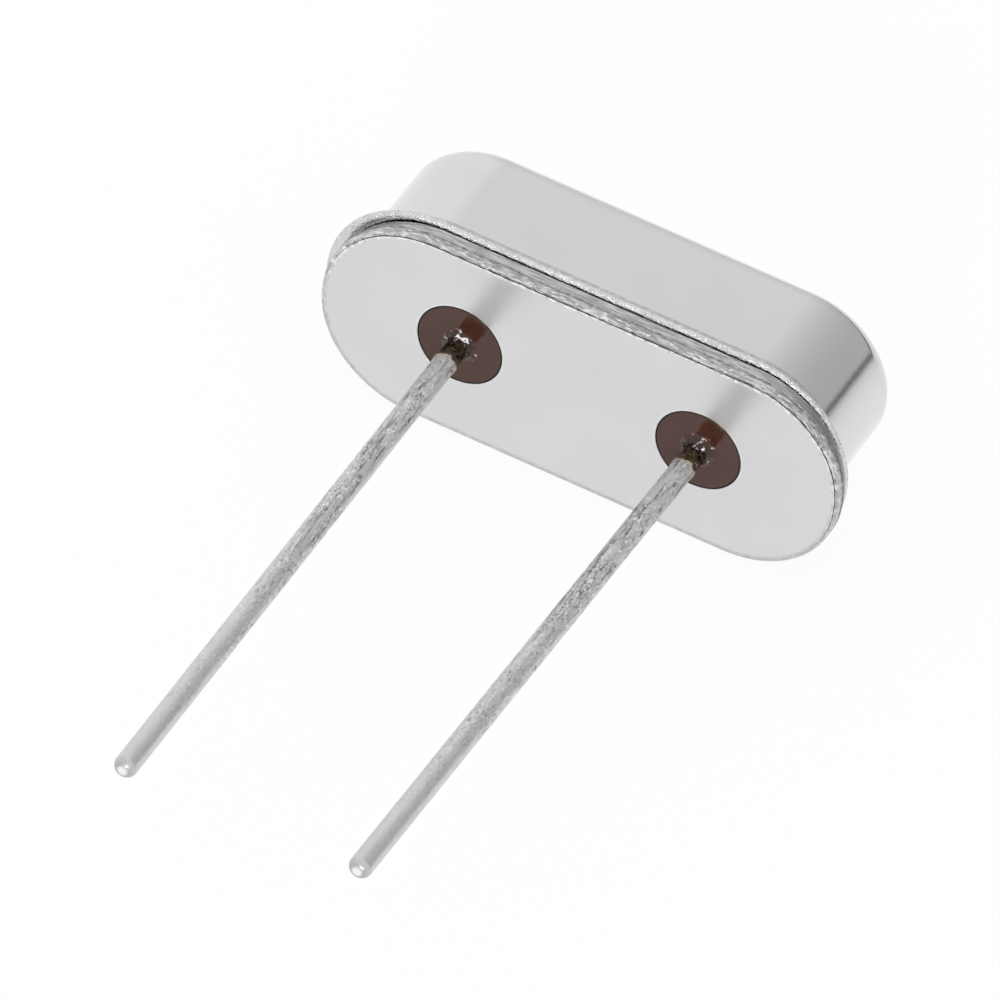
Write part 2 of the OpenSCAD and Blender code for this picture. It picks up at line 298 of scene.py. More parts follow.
def swept(tree, path, way, corner, given):
    """Sweeps the section round a path, given each point's way out and its corner of the core, roughens it by its
    marks and closes the tree."""
    for name, value in (("way", way), ("corner", corner)):
        path = add(
            tree, "GeometryNodeStoreNamedAttribute", {"Geometry": path, "Name": name, "Value": value},
            data_type="FLOAT_VECTOR",
        )
    section = add(tree, "GeometryNodeMeshToCurve", {"Mesh": given.outputs["Geometry"]})
    place = add(tree, "GeometryNodeInputPosition")
    profile = add(
        tree, "GeometryNodeStoreNamedAttribute", {"Geometry": section, "Name": "section", "Value": place},
        data_type="FLOAT_VECTOR",
    )
    skin = add(tree, "GeometryNodeCurveToMesh", {"Curve": path, "Profile Curve": profile})
    way, corner, core, drawn_at, grain, sway = [
        add(tree, "GeometryNodeInputNamedAttribute", {"Name": name}, data_type=kind)
        for name, kind in (
            ("way", "FLOAT_VECTOR"), ("corner", "FLOAT_VECTOR"), ("core", "FLOAT_VECTOR"),
            ("section", "FLOAT_VECTOR"), ("grain", "FLOAT"), ("sway", "FLOAT"),
        )
    ]
    spot = add(tree, "ShaderNodeSeparateXYZ", {0: drawn_at}).outputs
    reach = add(tree, "ShaderNodeVectorMath", {0: way, "Scale": spot["X"]}, operation="SCALE")
    level = add(tree, "ShaderNodeVectorMath", {0: corner, 1: core, 2: reach}, operation="MULTIPLY_ADD")
    height = add(tree, "ShaderNodeCombineXYZ", {"Z": spot["Z"]})
    shaped = add(tree, "ShaderNodeVectorMath", {0: level, 1: height}, operation="ADD")
    placed = add(tree, "GeometryNodeSetPosition", {"Geometry": skin, "Position": shaped})
    # For the materials: how far the way out turns from the flat sides to the round ends, which places the painted
    # shade round the ends
    across = add(tree, "ShaderNodeSeparateXYZ", {0: way}).outputs["X"]
    bend = add(tree, "ShaderNodeMath", {0: across}, operation="ABSOLUTE")
    placed = add(
        tree, "GeometryNodeStoreNamedAttribute", {"Geometry": placed, "Name": "bend", "Value": bend},
        data_type="FLOAT",
    )
    # Torn metal: fine grain straight out, stretched along the rim, and about two slow waves per mm up and down
    where = add(tree, "GeometryNodeInputPosition")
    along = given.outputs["Grain along"]
    squeeze = add(tree, "ShaderNodeCombineXYZ", {"X": along, "Y": along, "Z": 1.0})
    stretched = add(tree, "ShaderNodeVectorMath", {0: where, 1: squeeze}, operation="MULTIPLY")
    shifts = []
    for mark, vector, cells_per_mm, detail in (
        (grain, stretched, given.outputs["Grain per mm"], 3.0), (sway, where, 2.2, 4.0),
    ):
        noise = add(
            tree, "ShaderNodeTexNoise",
            {"Vector": vector, "W": given.outputs["Seed"], "Scale": cells_per_mm, "Detail": detail},
            noise_dimensions="4D",
        )
        centred = add(tree, "ShaderNodeMath", {0: noise, 1: 2.0, 2: -1.0}, operation="MULTIPLY_ADD")
        shifts.append(add(tree, "ShaderNodeMath", {0: centred, 1: mark}, operation="MULTIPLY"))
    outwards = add(tree, "ShaderNodeVectorMath", {0: way, "Scale": shifts[0]}, operation="SCALE")
    upwards = add(tree, "ShaderNodeCombineXYZ", {"Z": shifts[1]})
    shift = add(tree, "ShaderNodeVectorMath", {0: outwards, 1: upwards}, operation="ADD")
    rough = add(tree, "GeometryNodeSetPosition", {"Geometry": placed, "Offset": shift})
    return close_tree(tree, rough, given)


# "Grain along" is the share of the grain's cells per mm that lie along the rim
SWEEP_INPUTS = {"Grain per mm": 14.0, "Grain along": 1.0, "Seed": 1.0, "Material": None}


def oval_tree():
    """Sweeps a section round an oval. The path is a rounded box of unit radius, so that a point's nearest corner
    of the core and its way out come from clamping, and its straight stretches are a whole number of steps."""
    tree, given = new_tree(
        "oval_tree", {"Steps per corner": 120, "Steps per side": 240, "Steps per end": 12, **SWEEP_INPUTS}
    )
    corner, side, end = [given.outputs["Steps per " + part] for part in ("corner", "side", "end")]
    step = add(tree, "ShaderNodeMath", {0: math.pi / 2, 1: corner}, operation="DIVIDE")
    half = []
    for steps in (side, end):
        middle = add(tree, "ShaderNodeMath", {0: steps, 1: 0.5}, operation="MULTIPLY")
        half.append(add(tree, "ShaderNodeMath", {0: middle, 1: step}, operation="MULTIPLY"))
    outer = [add(tree, "ShaderNodeMath", {0: h, 1: 2.0, 2: 2.0}, operation="MULTIPLY_ADD") for h in half]
    box = add(tree, "GeometryNodeCurvePrimitiveQuadrilateral", {"Width": outer[0], "Height": outer[1]})
    rounded = add(tree, "GeometryNodeFilletCurve", {"Curve": box, "Radius": 1.0, "Count": 600}, mode="POLY")
    straight = add(tree, "ShaderNodeMath", {0: side, 1: end}, operation="ADD")
    turns = add(tree, "ShaderNodeMath", {0: corner, 1: 4.0}, operation="MULTIPLY")
    total = add(tree, "ShaderNodeMath", {0: straight, 1: 2.0, 2: turns}, operation="MULTIPLY_ADD")
    path = add(tree, "GeometryNodeResampleCurve", {"Curve": rounded, "Count": total})
    place = add(tree, "GeometryNodeInputPosition")
    core = add(tree, "ShaderNodeCombineXYZ", {"X": half[0], "Y": half[1]})
    lowest = add(tree, "ShaderNodeVectorMath", {0: core, "Scale": -1.0}, operation="SCALE")
    over = add(tree, "ShaderNodeVectorMath", {0: place, 1: lowest}, operation="MAXIMUM")
    nearest = add(tree, "ShaderNodeVectorMath", {0: over, 1: core}, operation="MINIMUM")
    way = add(tree, "ShaderNodeVectorMath", {0: place, 1: nearest}, operation="SUBTRACT")
    quarter = add(tree, "ShaderNodeVectorMath", {0: nearest, 1: core}, operation="DIVIDE")
    return swept(tree, path, way, quarter, given)


def turned_tree():
    """Turns a section round its own axis."""
    tree, given = new_tree("turned_tree", {"Steps": 72, **SWEEP_INPUTS})
    path = add(tree, "GeometryNodeCurvePrimitiveCircle", {"Resolution": given.outputs["Steps"], "Radius": 1.0})
    return swept(tree, path, add(tree, "GeometryNodeInputPosition"), (0, 0, 0), given)


def tinning_tree():
    """Thickens a turned lead below a wandering edge, and marks each point with its distance below that edge."""
    tree, given = new_tree(
        "tinning_tree",
        {"Start": 0.37, "Wander": 0.26, "Thickness": 0.01, "Bead": 0.012, "Seed": 1.0, "Material": None},
    )
    place = add(tree, "GeometryNodeInputPosition")
    axes = add(tree, "ShaderNodeSeparateXYZ", {0: place}).outputs
    ring = add(tree, "ShaderNodeCombineXYZ", {"X": axes["X"], "Y": axes["Y"]})
    way = add(tree, "ShaderNodeVectorMath", {0: ring}, operation="NORMALIZE")
    wander = add(
        tree, "ShaderNodeTexNoise", {"Vector": way, "W": given.outputs["Seed"], "Scale": 2.6, "Detail": 5.0},
        noise_dimensions="4D",
    )
    centred = add(tree, "ShaderNodeMath", {0: wander, 1: 0.5}, operation="SUBTRACT")
    edge = add(
        tree, "ShaderNodeMath", {0: centred, 1: given.outputs["Wander"], 2: given.outputs["Start"]},
        operation="MULTIPLY_ADD",
    )
    depth = add(tree, "ShaderNodeMath", {0: axes["Z"], 1: -1.0}, operation="MULTIPLY")
    below = add(tree, "ShaderNodeMath", {0: depth, 1: edge}, operation="SUBTRACT")
    # The tin thickens over 0.04 mm, and swells into a bead 0.2 mm long behind its edge
    coat, swell = [
        add(
            tree, "ShaderNodeMapRange", {"Value": below, "From Min": low, "From Max": high},
            interpolation_type="SMOOTHSTEP",
        )
        for low, high in ((-0.02, 0.02), (0.22, 0.02))
    ]
    bead = add(
        tree, "ShaderNodeMath", {0: swell, 1: given.outputs["Bead"], 2: given.outputs["Thickness"]},
        operation="MULTIPLY_ADD",
    )
    out = add(tree, "ShaderNodeMath", {0: bead, 1: coat}, operation="MULTIPLY")
    shift = add(tree, "ShaderNodeVectorMath", {0: way, "Scale": out}, operation="SCALE")
    bare = add(
        tree, "GeometryNodeStoreNamedAttribute",
        {"Geometry": given.outputs["Geometry"], "Name": "coat", "Value": below}, data_type="FLOAT",
    )
    thick = add(tree, "GeometryNodeSetPosition", {"Geometry": bare, "Offset": shift})
    return close_tree(tree, thick, given)


def grown(section, steps, closed=False):
    """A section grown by geometry trees, each with its named inputs, as a plain mesh in millimetres."""
    shell = bpy.data.objects.new("shell", section.mesh(closed))
    bpy.context.scene.collection.objects.link(shell)
    for make, values in steps:
        tree = bpy.data.node_groups.get(make.__name__) or make()
        modifier = shell.modifiers.new(make.__name__, "NODES")
        modifier.node_group = tree
        for item in tree.interface.items_tree:
            if item.in_out == "INPUT" and item.name in values:
                modifier[item.identifier] = values[item.name]
    bpy.context.view_layer.update()
    graph = bpy.context.evaluated_depsgraph_get()
    mesh = bpy.data.meshes.new_from_object(
        shell.evaluated_get(graph), preserve_all_data_layers=True, depsgraph=graph
    )
    shell.modifiers.clear()
    bpy.data.objects.remove(shell)
    return mesh


def settle(name, parts, material, node, sharp=40, cap_heights=()):
    """Joins meshes, each given with its place, caps their open rims at these heights, keeps edges sharp over this
    angle in degrees, and lays the piece where its CAD node is."""
    body = bmesh.new()
    for mesh, place in parts:
        mesh.transform(place)
        body.from_mesh(mesh)
    bmesh.ops.remove_doubles(body, verts=body.verts, dist=PIECE_WELD)
    for height in cap_heights:
        rim = [e for e in body.edges if e.is_boundary and all(abs(v.co.z - height) < LEVEL for v in e.verts)]
        bmesh.ops.triangle_fill(body, use_beauty=True, edges=rim, normal=(0, 0, 1))
    bmesh.ops.dissolve_degenerate(body, edges=body.edges, dist=SLIVER)
    bmesh.ops.recalc_face_normals(body, faces=body.faces)
    mesh = bpy.data.meshes.new(name)
    body.to_mesh(mesh)
    body.free()
    for spare in ("section", "way", "corner", "core", "sway"):
        if spare in mesh.attributes:
            mesh.attributes.remove(mesh.attributes[spare])
    mesh.transform(PACKAGE @ Matrix.Scale(MM, 4))
    mesh.materials.append(material)
    mesh.shade_smooth()
    mesh.set_sharp_from_angle(angle=math.radians(sharp))
    piece = bpy.data.objects.new(name, mesh)
    bpy.context.scene.collection.objects.link(piece)
    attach(piece, "root")
    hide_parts(node)


# ---------------------------------------------------------------- materials


def cleared(owner):
    """The emptied node tree of a material or a world."""
    owner.use_nodes = True
    owner.node_tree.nodes.clear()
    return owner.node_tree


def new_material(name):
    """A material, its tree, and the place on the package in millimetres."""
    material = bpy.data.materials.new(name)
    tree = cleared(material)
    back = PACKAGE.inverted()
    place = add(
        tree, "ShaderNodeMapping",
        {
            "Vector": add(tree, "ShaderNodeTexCoord").outputs["Object"],
            "Scale": (1 / MM,) * 3,
            "Rotation": back.to_euler("XYZ"),
            "Location": back.translation / MM,
        },
    )
    return material, tree, place


def shaded(material, bumps, inputs):
    """Ends a material in its shader. The bumps lie one over the other, each with its height, its strength, and its
    rise in mm, or under 0 its depth."""
    tree, normal = material.node_tree, None
    for height, strength, rise in bumps:
        relief = {"Height": height, "Strength": strength, "Distance": abs(rise) * MM}
        if normal:
            relief["Normal"] = normal
        normal = add(tree, "ShaderNodeBump", relief, invert=rise < 0)
    shader = add(tree, "ShaderNodeBsdfPrincipled", {**inputs, "Normal": normal})
    add(tree, "ShaderNodeOutputMaterial", {"Surface": shader})
    return material


def full(rgb):
    """A linear colour with full alpha."""
    return (*rgb, 1.0)


def pattern(tree, place, cells_per_mm, detail, low, high, rough=0.5):
    """Noise with this many cells per mm along each axis, stretched to 0 to 1."""
    cells = add(tree, "ShaderNodeMapping", {"Vector": place, "Scale": cells_per_mm})
    noise = add(
        tree, "ShaderNodeTexNoise", {"Vector": cells, "Scale": 1.0, "Detail": detail, "Roughness": rough}
    )
    return add(tree, "ShaderNodeMapRange", {"Value": noise, "From Min": low, "From Max": high})


def marked(tree, name, low, high):
    """A mark of the section, stretched to 0 to 1."""
    value = add(tree, "ShaderNodeAttribute", attribute_name=name).outputs["Fac"]
    return add(tree, "ShaderNodeMapRange", {"Value": value, "From Min": low, "From Max": high})


def layered(tree, colour_under, layers):
    """A colour with others laid over it: each layer gives its colour and the factors that make up its share."""
    skin = full(colour_under)
    for colour_over, share, *factors in layers:
        for factor in factors:
            share = add(tree, "ShaderNodeMath", {0: share, 1: factor}, operation="MULTIPLY")
        skin = add(tree, "ShaderNodeMix", {0: share, 6: skin, 7: full(colour_over)}, data_type="RGBA").outputs[2]
    return skin


def nickel_plate(name, colours, rough, torn_per_mm):
    """Satin nickel over steel: a bright even grey with a very fine grain, streaked where the die sheared it, pitted
    and duller where it tore, with painted highlights and glints on the rims and the torn metal, painted shade round
    the ends, and near black painted shade in the gaps, grooves and roots. The torn metal has torn_per_mm cells per
    mm along each axis."""
    material, tree, place = new_material(name)
    noise, mark = partial(pattern, tree, place), partial(marked, tree)
    # The side that lies up has more varied pits and takes the painted glints and painted highlights; the side on the
    # table stays evenly dull
    across = add(tree, "ShaderNodeSeparateXYZ", {0: place}).outputs["Y"]
    up = add(tree, "ShaderNodeMapRange", {"Value": across, "From Min": 0.8, "From Max": -1.0, "To Min": 0.2})
    torn, streaked = mark("grain", 0.001, 0.008), mark("streak", 0.0, 1.0)
    cloud = noise((0.5,) * 3, 3.0, 0.3, 0.7)
    # The grain of the plating is about 17 microns
    plating = noise((60.0,) * 3, 2.0, 0.3, 0.7)
    # Pits of the torn metal, and streaks about 0.3 mm long and 45 microns high along the rim
    pits = add(tree, "ShaderNodeMix", {0: up, 2: 0.6, 3: noise(torn_per_mm, 3.0, 0.38, 0.6)}, data_type="FLOAT")
    pitted = add(tree, "ShaderNodeMath", {0: pits, 1: torn}, operation="MULTIPLY")
    streaks = noise((3.0, 3.0, 22.0), 4.0, 0.35, 0.65)
    drawn = add(tree, "ShaderNodeMath", {0: streaks, 1: streaked}, operation="MULTIPLY")
    dull = add(tree, "ShaderNodeMath", {0: cloud, 1: 0.08}, operation="MULTIPLY")
    for part, share in ((pitted, 0.75), (drawn, 0.8)):
        dull = add(tree, "ShaderNodeMath", {0: part, 1: share, 2: dull}, operation="MULTIPLY_ADD", use_clamp=True)
    # Painted shade lies unevenly along a line, but fills the gaps and grooves
    patches = noise((9.0,) * 3, 3.0, 0.32, 0.62)
    uneven_shade = add(tree, "ShaderNodeMath", {0: patches, 1: 0.9, 2: 0.55}, operation="MULTIPLY_ADD")
    # Over the dull spots lie painted shade on the sheared zone round the ends, bright flecks on the torn metal as
    # painted glints, painted highlights on the rims, and painted shade in the gaps, grooves and roots
    tint = layered(
        tree, colours.nickel,
        (
            (colours.nickel_dull, dull),
            (colours.sheared, noise((2.0, 2.0, 9.0), 3.0, 0.2, 0.42), streaked, mark("bend", 0.35, 0.75)),
            (colours.nickel_bright, noise([1.1 * cells for cells in torn_per_mm], 2.0, 0.55, 0.63), torn, up),
            (colours.nickel_bright, noise((7.0,) * 3, 2.0, 0.38, 0.55), mark("seam", 0.0, -1.0), up),
            (colours.seam, mark("seam", 0.0, 1.0), uneven_shade),
        ),
    )
    gloss = add(tree, "ShaderNodeMath", {0: plating, 1: 0.02, 2: rough}, operation="MULTIPLY_ADD")
    gloss = add(tree, "ShaderNodeMath", {0: torn, 1: 0.16, 2: gloss}, operation="MULTIPLY_ADD")
    bumps = ((cloud, 1.0, 0.0012), (plating, 1.0, 0.0004), (drawn, 1.0, 0.006), (pitted, 1.0, -0.016))
    return shaded(material, bumps, {"Base Color": tint, "Metallic": 1.0, "Roughness": gloss})


def sealing_glass(colours):
    """Dark brown compression glass fired in place: smooth and glossy, with near black painted shade in the groove at
    the hole's wall, and darker where it climbs the lead.
    """
    material, tree, place = new_material("fired_sealing_glass")
    noise, mark = partial(pattern, tree, place), partial(marked, tree)
    cloud = noise((2.5,) * 3, 4.0, 0.3, 0.7)
    tone = add(tree, "ShaderNodeMapRange", {"Value": cloud, "To Max": 0.25})
    # The near black rim is painted shade in the groove at the hole's wall; the glass is also darker up the lead,
    # with a random tone
    rim = add(tree, "ShaderNodeMath", {0: mark("seam", 0.0, 1.0), 1: tone}, operation="MAXIMUM")
    ripple = add(tree, "ShaderNodeTexNoise", {"Vector": place, "Scale": 3.5, "Detail": 2.0})
    # Where the glass climbs the lead it froze in drops and craters, and a few bright metal flecks there give painted
    # glints
    drops = add(tree, "ShaderNodeTexNoise", {"Vector": place, "Scale": 5.0, "Detail": 1.5})
    climbs = mark("grain", 0.001, 0.012)
    glint_flecks = add(
        tree, "ShaderNodeMath", {0: noise((7.0,) * 3, 3.0, 0.6, 0.65), 1: climbs}, operation="MULTIPLY"
    )
    tint = layered(tree, colours.glass, ((colours.glass_rim, rim), (colours.nickel_bright, glint_flecks)))
    gloss = add(tree, "ShaderNodeMapRange", {"Value": cloud, "To Min": 0.05, "To Max": 0.09})
    bumps = ((ripple, 1.0, 0.002), (drops, climbs, 0.1))
    return shaded(material, bumps, {"Base Color": tint, "Metallic": glint_flecks, "Roughness": gloss, "IOR": 1.45})


def tinned_wire(colours):
    """Hot-dipped tin on iron-nickel wire: satin grey, pitted and stained near the glass, smooth with slow waves
    towards the tip, with a golden edge and a bare olive-brown stretch above it."""
    material, tree, place = new_material("hot_dipped_tin")
    noise, mark = partial(pattern, tree, place, rough=0.6), partial(marked, tree)
    # Handling marks thin out from about 5 mm to 13 mm below the base
    height = add(tree, "ShaderNodeSeparateXYZ", {0: place}).outputs["Z"]
    worn = add(
        tree, "ShaderNodeMapRange",
        {"Value": height, "From Min": -13.0, "From Max": -5.0, "To Min": 0.12, "To Max": 1.0},
    )
    # Pits about 0.04 mm across in patches, dark streaks up to 1 mm long, scratches a few hundredths wide, slow waves
    spots, patches = noise((22.0, 22.0, 11.0), 2.0, 0.48, 0.68), noise((3.0, 3.0, 1.0), 3.0, 0.38, 0.6)
    stains = add(tree, "ShaderNodeMath", {0: spots, 1: patches}, operation="MULTIPLY")
    lines, upper = noise((11.0, 11.0, 1.3), 3.0, 0.54, 0.68), mark("coat", 9.0, 4.0)
    streaks = add(tree, "ShaderNodeMath", {0: lines, 1: upper}, operation="MULTIPLY")
    scratches = noise((30.0, 30.0, 5.0), 4.0, 0.3, 0.7)
    waves = noise((3.5, 3.5, 1.1), 2.0, 0.2, 0.8)
    cells = add(tree, "ShaderNodeMapping", {"Vector": place, "Scale": (3.6, 3.6, 1.8)})
    holes = add(tree, "ShaderNodeTexVoronoi", {"Vector": cells, "Scale": 1.0})
    pits = add(tree, "ShaderNodeMapRange", {"Value": holes, "From Min": 0.17, "From Max": 0.08})
    marks = add(tree, "ShaderNodeMath", {0: pits, 1: 0.6, 2: stains}, operation="MULTIPLY_ADD", use_clamp=True)
    marks = add(tree, "ShaderNodeMath", {0: marks, 1: worn}, operation="MULTIPLY")
    marks = add(tree, "ShaderNodeMath", {0: streaks, 1: 0.7, 2: marks}, operation="MULTIPLY_ADD", use_clamp=True)
    # Over the marks lie bright flecks, a painted highlight on the cut tip ringed by painted shade, the tin's golden
    # edge, and past it the bare wire, burnt where it meets the glass
    tint = layered(
        tree, colours.tin,
        (
            (colours.tin_dull, marks),
            (colours.nickel_bright, noise((20.0, 20.0, 8.0), 2.0, 0.58, 0.68), worn),
            (colours.nickel_bright, mark("seam", 0.0, -1.0)),
            (colours.tin_dull, mark("seam", 0.0, 1.0)),
            (colours.tin_edge, mark("coat", 0.18, 0.04), noise((7.0, 7.0, 5.0), 3.0, 0.36, 0.56)),
            (colours.wire, mark("coat", 0.0, -0.03)),
            (colours.glass_rim, noise((9.0,) * 3, 3.0, 0.43, 0.6), mark("coat", 0.03, -0.12)),
        ),
    )
    gloss = add(tree, "ShaderNodeMath", {0: worn, 1: -0.08, 2: 0.4}, operation="MULTIPLY_ADD")
    bumps = (
        (waves, 1.0, 0.012), (scratches, worn, 0.006), (stains, worn, -0.009), (pits, worn, -0.014),
        (streaks, 1.0, -0.008),
    )
    return shaded(material, bumps, {"Base Color": tint, "Metallic": 1.0, "Roughness": gloss})


def inner_material(name, light, dark, grain_per_mm, rough, others):
    """A finish of the sealed parts: two tones broken by a grain, with the same grain in the roughness, and the
    shader's other inputs by name."""
    material, tree, place = new_material(name)
    grain = add(tree, "ShaderNodeTexNoise", {"Vector": place, "Scale": grain_per_mm, "Detail": 4.0})
    share = add(tree, "ShaderNodeMapRange", {"Value": grain, "From Min": 0.35, "From Max": 0.65})
    tint = layered(tree, linear(light)[:3], ((linear(dark)[:3], share),))
    gloss = add(tree, "ShaderNodeMapRange", {"Value": share, "To Min": rough * 0.85, "To Max": rough * 1.15})
    return shaded(material, ((grain, 1.0, 0.002),), {"Base Color": tint, "Roughness": gloss, **others})


# ---------------------------------------------------------------- operators


class OBJECT_OT_crystal_can(bpy.types.Operator):
    """Draws the can: a cup with a round-rimmed flange"""

    bl_idname = "object.crystal_can"
    bl_label = "Can"

    def execute(self, context):
        can, base = in_mm(context.scene, "can", "base")
        side = can.width / 2
        wall_core = (can.length / 2 - side, 0)
        rim = can.width / 2 + can.flange_side - can.end_flat
        rim_core = (can.length / 2 + can.flange_end - rim, can.end_flat)
        under = base.flange_thickness + base.weld_gap
        top = under + can.flange_thickness
        bead = can.flange_thickness / 2
        weld = side + can.flange_end - base.overhang - base.weld_inset - abs(can.offset)
        inner = side - can.wall
        s = Section()
        corner = side - can.top_radius
        s.run([(0, can.height), (corner - HOLD, can.height)], wall_core)
        s.run(arc((corner, can.height - can.top_radius), can.top_radius, 90, 0, 16), wall_core)
        # Painted shade darkens the root of the flange, up to where the wall comes clear of the flange
        clear = top + can.flange_side
        s.run(line((side, can.height - can.top_radius - HOLD), (side, clear + 0.03), 8), wall_core)
        root = can.root_radius
        s.run(line((side, clear), (side, top + root + HOLD), 3), wall_core, seam=(0.22, 0.35))
        s.run(arc((side + root, top + root), root, 180, 270, 8), wall_core, seam=0.35)
        # The flange's top takes painted shade by the wall, and its round rim a painted highlight
        s.run(line((rim - bead - 0.05, top), (rim - bead - HOLD, top), 2), rim_core, grain=(0.0, 0.003), seam=0.2)
        s.run(arc((rim - bead, under + bead), bead, 90, 45, 4), rim_core, grain=(0.003, 0.004), seam=(0.2, 0.0))
        s.run(arc((rim - bead, under + bead), bead, 40, -90, 12), rim_core, grain=0.0045, seam=(-0.5, -0.1))
        # Under the flange the metal stays bright as far as it can show past the base, and near black painted shade
        # fills the weld gap beyond
        shown = base.overhang + 2 * abs(can.offset)
        s.run([(rim - bead - 0.02, under), (rim - shown + 0.02, under)], rim_core, grain=0.002)
        s.run([(rim - shown - 0.02, under)], rim_core, seam=1.0)
        s.run([(weld, under), (weld, base.flange_thickness), (inner, base.flange_thickness)], wall_core, seam=1.0)
        rise = can.height - can.wall
        turn = can.top_radius - can.wall
        s.run([(inner, rise - turn - HOLD)], wall_core)
        s.run(arc((inner - turn, rise - turn), turn, 0, 90, 10), wall_core)
        s.run([(0, rise)], wall_core)
        # Drawn sheet: satin nickel with a close shine
        material = nickel_plate("drawn_satin_nickel", context.scene.crystal_colours, 0.055, (22.0,) * 3)
        mesh = grown(s, [(oval_tree, {"Seed": 3.0, "Grain per mm": 16.0, "Material": material})])
        shift = Matrix.Translation((can.offset, 0, 0))
        settle("can_shell", [(mesh, shift)], material, "can")
        return {"FINISHED"}


class OBJECT_OT_crystal_base(bpy.types.Operator):
    """Stamps the base: an oval plate with a sheared rim, a raised middle and two bead holes"""

    bl_idname = "object.crystal_base"
    bl_label = "Base"

    def execute(self, context):
        can, base, leads = in_mm(context.scene, "can", "base", "leads")
        rim = can.width / 2 + can.flange_side - base.overhang - can.end_flat
        rim_core = (can.length / 2 + can.flange_end - base.overhang - rim, can.end_flat)
        boss = can.width / 2 - can.wall - base.boss_gap
        boss_core = (can.length / 2 - can.width / 2 - abs(can.offset), 0)
        drafted = (rim_core[0] - base.draft_end, rim_core[1])
        r, tear, depth = base.edge_radius, base.tear_height, base.tear_depth
        face, high, brow = rim - r, base.flange_thickness, rim - base.draft_side
        # Width of the face's bruised border, height of the step beside it, and radius of the burr
        border, step, burr = 0.085, 0.018, 0.012
        s = Section()
        # The face and its bruised border with painted highlights, the small step that the die left with painted
        # shade on its wall, the roll, and the torn zone with painted shade towards the tear
        s.run(line((face - 0.2, 0), (face - 0.1, 0), 2), rim_core)
        s.run(line((face - border, 0), (face - 0.016, 0), 4), rim_core, grain=(0.001, 0.012), seam=(0.0, -1.0))
        s.run([(face - 0.011, 0.002), (face - 0.008, step)], rim_core, grain=0.012, seam=1.0)
        s.run([(face - 0.003, 0.019), (face + 0.026, step)], rim_core, grain=(0.011, 0.008))
        s.run(arc((face, r), r, -42, -10, 5), rim_core, grain=(0.006, 0.01))
        s.run(
            line((rim, r + 0.02), (rim - 0.002, tear - 0.03), 4), rim_core, grain=0.01, sway=(0.0, 0.03),
            seam=(0.0, 0.18),
        )
        # The tear's wandering groove and the sheared zone over it, darkened with painted shade, and its burr under
        # the seam, painted bright below and dark towards the near black painted shade in the weld gap
        groove = [(rim - depth * 0.6, tear - 0.012), (rim - depth, tear)]
        s.run(groove, rim_core, grain=0.004, sway=0.04, seam=(0.3, 0.6))
        s.run([(rim - depth * 0.5, tear + 0.014)], rim_core, grain=0.002, sway=0.04, seam=0.4, streak=0.5)
        s.run([(rim, tear + 0.034)], rim_core, grain=0.001, sway=0.04, seam=0.15, streak=1.0)
        s.run(
            line((rim, tear + 0.05), (brow, high - 0.025), 6), rim_core, drafted, grain=0.001, sway=(0.03, 0.0),
            seam=0.08, streak=1.0,
        )
        s.run(arc((brow - burr, high - burr), burr, 0, 90, 3), drafted, grain=0.002, seam=(-0.2, 0.6))
        s.run([(rim - 0.06, high)], drafted, seam=1.0)
        s.run([(boss, high), (boss, high + HOLD)], boss_core)
        s.run([(boss, base.thickness - HOLD), (boss, base.thickness), (boss - HOLD, base.thickness)], boss_core)
        # Stamped plate: satin nickel with a soft shine
        material = nickel_plate("stamped_satin_nickel", context.scene.crystal_colours, 0.22, (6.0, 6.0, 17.0))
        sweep = {"Seed": 7.0, "Grain per mm": 22.0, "Grain along": 0.4, "Material": material}
        parts = [(grown(s, [(oval_tree, sweep)]), Matrix())]
        bead, lip = leads.bead_diameter / 2, base.hole_radius
        for side in ("left", "right"):
            hole = Section()
            # The hole's lip carries a pale painted highlight, and its wall painted shade down to the glass
            hole.run([(bead + lip + 0.03, 0), (bead + lip + HOLD, 0)], seam=(0.0, -0.5))
            hole.run(arc((bead + lip, lip), lip, -90, -180, 7), seam=(-0.6, 0.7))
            hole.run([(bead, lip + 0.02), (bead, base.thickness - HOLD), (bead, base.thickness)], seam=1.0)
            root, _, _ = lead_line(mounts["lead_" + side])
            mesh = grown(hole, [(turned_tree, {"Steps": 128, "Material": material})])
            parts.append((mesh, Matrix.Translation((root.x, 0, 0))))
        settle("base_plate", parts, material, "base", cap_heights=(0, base.thickness))
        return {"FINISHED"}


